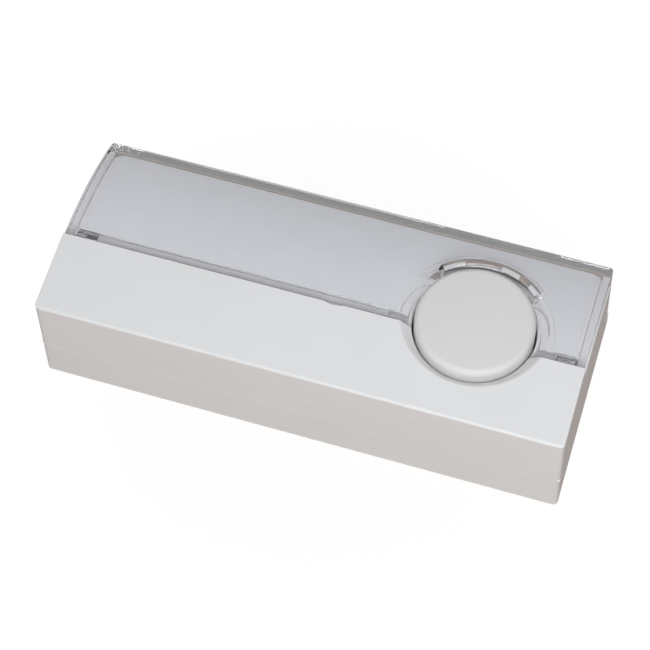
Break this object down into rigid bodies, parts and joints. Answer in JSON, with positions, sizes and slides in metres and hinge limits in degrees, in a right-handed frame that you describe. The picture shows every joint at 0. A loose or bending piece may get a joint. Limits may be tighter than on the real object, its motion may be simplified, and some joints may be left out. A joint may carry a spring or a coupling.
{
  "type": "illuminated doorbell button",
  "caption": "Low rectangular wall bell push with a clear curved name-card window along one side, a lamp behind the card and a round push button at one end.",
  "frame": {"origin": "centre of the footprint on the wall, on the back plane", "axes": "+X along the case towards the button, +Y from the front wall to the window's back wall, +Z away from the wall"},
  "size_m": [0.084, 0.034, 0.0221],
  "materials": {
    "white_plastic": "semi-gloss moulded",
    "clear_plastic": "clear polished",
    "opal_plastic": "opal",
    "card": "matt printed card, bare",
    "ivory_plastic": "semi-gloss moulded",
    "spring_steel": "drawn wire",
    "bronze": "rolled strip",
    "brass": "stamped strip",
    "lamp_glass": "clear",
    "tungsten": "drawn wire",
    "nickel": "plated",
    "zinc_steel": "zinc plated"
  },
  "bodies": {
    "base": {"base_tray": "white_plastic", "return_spring": "spring_steel", "moving_contact_leaf": "bronze", "leaf_rivet": "brass", "fixed_contact_strip": "brass", "lamp_contact_strip": "brass", "lamp_glass": "lamp_glass", "lamp_filament": "tungsten", "lamp_cap_left": "nickel", "lamp_cap_right": "nickel", "terminal_screw_left": "zinc_steel", "clamp_washer_left": "zinc_steel", "square_nut_left": "zinc_steel", "terminal_screw_right": "zinc_steel", "clamp_washer_right": "zinc_steel", "square_nut_right": "zinc_steel"},
    "cover": {"front_cover": "white_plastic", "card_diffuser": "opal_plastic", "name_card": "card"},
    "window": {"name_window": "clear_plastic"},
    "button": {"push_button": "ivory_plastic"}
  },
  "joints": [
    {"name": "cover_lift", "type": "slide", "parent": "base", "child": "cover", "axis": [0, 0, 1], "range_m": [0, 0.03]},
    {"name": "window_lift", "type": "slide", "parent": "cover", "child": "window", "axis": [0, 0, 1], "range_m": [0, 0.02]},
    {"name": "button_press", "type": "slide", "parent": "cover", "child": "button", "axis": [0, 0, 1], "range_m": [-0.0016, 0], "stiffness_N_per_m": 600, "springref_m": 0.0012, "deforming": ["return_spring", "moving_contact_leaf"]}
  ]
}
